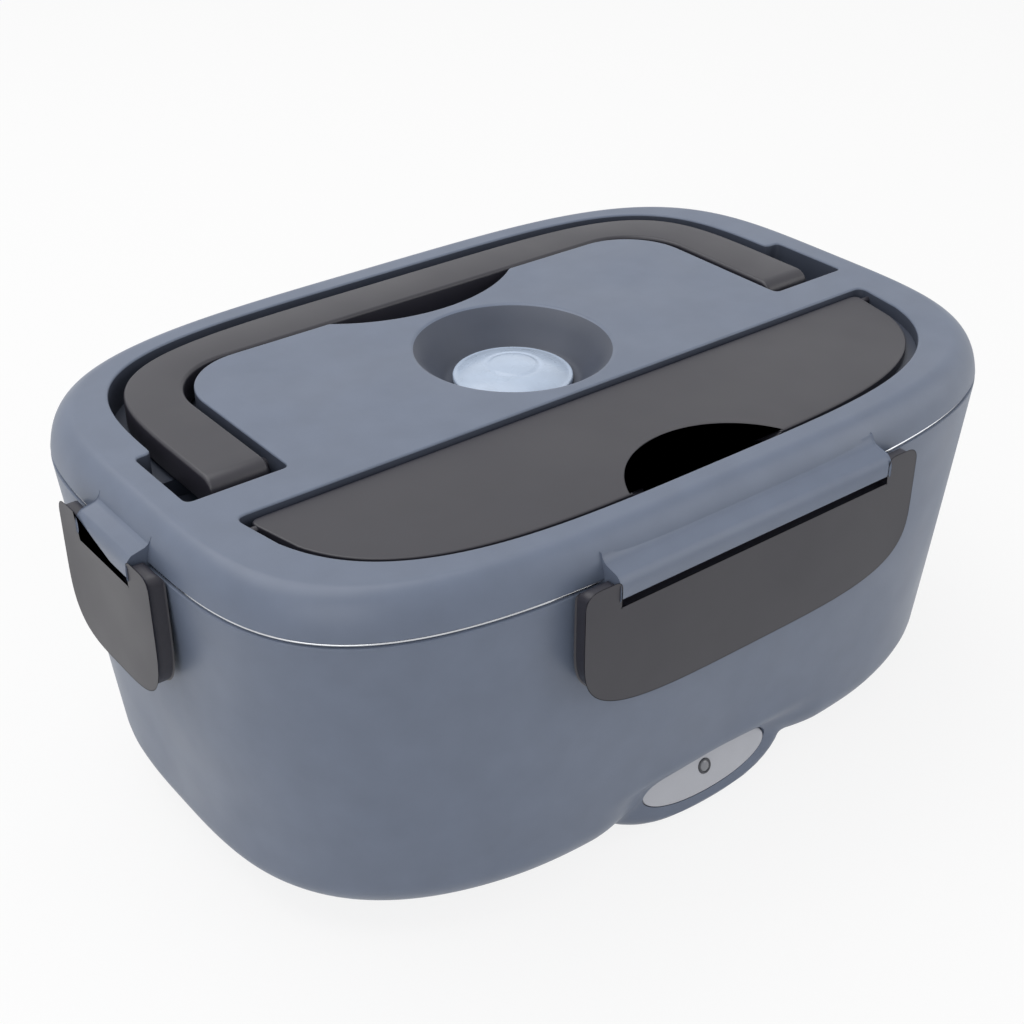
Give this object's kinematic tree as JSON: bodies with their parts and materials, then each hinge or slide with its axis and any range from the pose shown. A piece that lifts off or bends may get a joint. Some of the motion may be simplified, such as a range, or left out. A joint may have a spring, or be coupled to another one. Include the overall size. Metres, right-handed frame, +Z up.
{
  "type": "electric lunch box",
  "caption": "Heated lunch box with a latched lift-off lid, carry handle, cutlery compartment, vent plug, lift-out steel container and side tray.",
  "frame": {"origin": "centre of the bounding box at the table, under the feet", "axes": "+X along the length to the right latch, -Y to the indicator side, +Z up"},
  "size_m": [0.2316, 0.16, 0.096],
  "materials": {
    "body": "satin blue-grey moulding",
    "trim": "satin charcoal moulding",
    "steel": "drawn stainless sheet, bright rim",
    "liner": "pale grey moulding",
    "tray": "off-white moulding",
    "seal": "soft translucent silicone",
    "plug": "translucent silicone",
    "foot": "matt rubber",
    "label": "satin silver-grey plate, bare",
    "lens": "smoked lens in a dark ring",
    "led": "clear epoxy",
    "heater": "plain plate",
    "element": "ribbed case",
    "sensor": "moulded case",
    "fuse": "plain",
    "inlet": "moulded black",
    "contact": "plated",
    "board": "green laminate",
    "screw": "zinc-plated",
    "wire": "insulated",
    "cutlery": "polished"
  },
  "bodies": {
    "base": {"base_shell": "body", "inner_liner": "liner", "heating_plate": "heater", "plate_screws": "screw", "ptc_heater": "element", "thermostat": "sensor", "thermal_fuse": "fuse", "power_inlet": "inlet", "inlet_pins": "contact", "indicator_board": "board", "indicator_led": "led", "label_plate": "label", "indicator_lens": "lens", "base_screws": "screw", "rubber_feet": "foot", "inner_wires": "wire"},
    "container": {"steel_container": "steel"},
    "tray": {"side_tray": "tray"},
    "lid": {"lid_shell": "body", "inner_lid": "tray", "lid_seal": "seal", "spoon": "cutlery", "fork": "cutlery"},
    "plug": {"vent_plug": "plug"},
    "handle": {"carry_handle": "trim"},
    "cover": {"cutlery_cover": "trim"},
    "front_latch": {"latch_front": "trim"},
    "back_latch": {"latch_back": "trim"},
    "left_latch": {"latch_left": "trim"},
    "right_latch": {"latch_right": "trim"}
  },
  "joints": [
    {"name": "container_lift", "type": "slide", "parent": "base", "child": "container", "axis": [0, 0, 1], "range_m": [0, 0.08]},
    {"name": "tray_lift", "type": "slide", "parent": "container", "child": "tray", "axis": [0, 0, 1], "range_m": [0, 0.07]},
    {"name": "lid_lift", "type": "slide", "parent": "tray", "child": "lid", "axis": [0, 0, 1], "range_m": [0, 0.05]},
    {"name": "vent_pull", "type": "slide", "parent": "lid", "child": "plug", "axis": [0, 0, 1], "range_m": [0, 0.014]},
    {"name": "handle_swing", "type": "hinge", "parent": "lid", "child": "handle", "pos_m": [0, 0.001, 0.0911], "axis": [1, 0, 0], "range_deg": [0, 90]},
    {"name": "cover_swing", "type": "hinge", "parent": "lid", "child": "cover", "pos_m": [0, -0.0245, 0.0935], "axis": [-1, 0, 0], "range_deg": [0, 100]},
    {"name": "front_latch_swing", "type": "hinge", "parent": "lid", "child": "front_latch", "pos_m": [0, -0.0778, 0.0859], "axis": [-1, 0, 0], "range_deg": [0, 110]},
    {"name": "back_latch_swing", "type": "hinge", "parent": "lid", "child": "back_latch", "pos_m": [0, 0.0778, 0.0859], "axis": [1, 0, 0], "range_deg": [0, 110]},
    {"name": "left_latch_swing", "type": "hinge", "parent": "lid", "child": "left_latch", "pos_m": [-0.1136, 0, 0.0859], "axis": [0, 1, 0], "range_deg": [0, 110]},
    {"name": "right_latch_swing", "type": "hinge", "parent": "lid", "child": "right_latch", "pos_m": [0.1136, 0, 0.0859], "axis": [0, -1, 0], "range_deg": [0, 110]}
  ]
}
